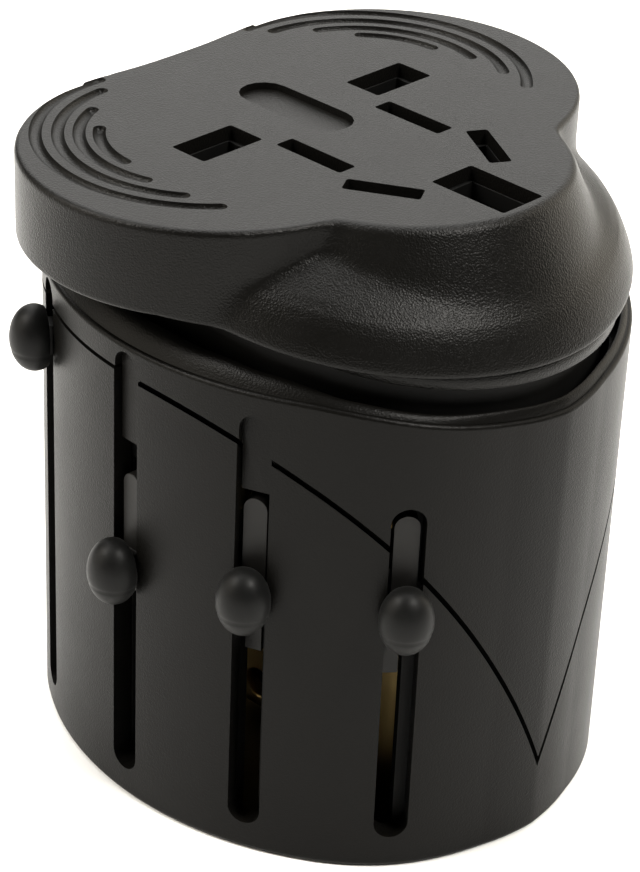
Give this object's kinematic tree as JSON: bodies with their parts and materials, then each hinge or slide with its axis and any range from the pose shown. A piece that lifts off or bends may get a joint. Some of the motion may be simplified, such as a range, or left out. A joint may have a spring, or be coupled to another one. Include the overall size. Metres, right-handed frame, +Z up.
{
  "type": "universal travel adapter",
  "caption": "Travel plug adapter: three-lobed socket head on an oval body, with thumb sliders that push different plug pins out of the base.",
  "frame": {"origin": "centre of the base face the adapter stands on", "axes": "+Z up to the socket face, -Y towards the earth socket and the V at the front of the body, +X away from the slider slots"},
  "size_m": [0.0582, 0.0581, 0.063],
  "materials": {
    "casing_black": "fine spark-eroded texture, satin",
    "head_black": "fine spark-eroded texture, satin",
    "inner_black": "smooth, matte",
    "knob_grey": "smooth, slightly rubbery",
    "pin_brass": "satin, lightly brushed",
    "pin_nickel": "bright nickel plate",
    "contact_brass": "plain strip",
    "steel": "zinc plated"
  },
  "bodies": {
    "casing": {"lower_casing": "casing_black", "upper_casing": "casing_black", "base_plate": "casing_black", "core_frame": "inner_black", "socket_block": "inner_black", "line_contact": "contact_brass", "neutral_contact": "contact_brass", "earth_contact": "contact_brass", "line_rail": "contact_brass", "neutral_rail": "contact_brass", "casing_screws": "steel", "head_springs": "steel"},
    "head": {"head_shell": "head_black", "inner_plate": "inner_black", "head_skirt": "inner_black"},
    "uk_plug": {"uk_carrier": "inner_black", "uk_mains_pins": "pin_brass", "uk_earth_pin": "pin_brass", "uk_knob": "knob_grey"},
    "eu_plug": {"eu_carrier": "inner_black", "eu_pins": "pin_nickel", "eu_pin_sleeves": "inner_black", "eu_knob": "knob_grey"},
    "us_plug": {"us_carrier": "inner_black", "us_blades": "pin_brass", "us_knob": "knob_grey"},
    "aus_plug": {"aus_carrier": "inner_black", "aus_blades": "pin_brass", "aus_knob": "knob_grey"}
  },
  "joints": [
    {"name": "head_press", "type": "slide", "parent": "casing", "child": "head", "axis": [0, 0, 1], "range_m": [-0.002, 0], "stiffness_N_per_m": 1500, "springref_m": 0.002, "deforming": ["head_springs"]},
    {"name": "uk_slide", "type": "slide", "parent": "casing", "child": "uk_plug", "axis": [0, 0, -1], "range_m": [0, 0.033]},
    {"name": "eu_slide", "type": "slide", "parent": "casing", "child": "eu_plug", "axis": [0, 0, -1], "range_m": [-0.0026, 0.0194]},
    {"name": "us_slide", "type": "slide", "parent": "casing", "child": "us_plug", "axis": [0, 0, -1], "range_m": [0, 0.0185]},
    {"name": "aus_slide", "type": "slide", "parent": "casing", "child": "aus_plug", "axis": [0, 0, -1], "range_m": [0, 0.018]}
  ]
}
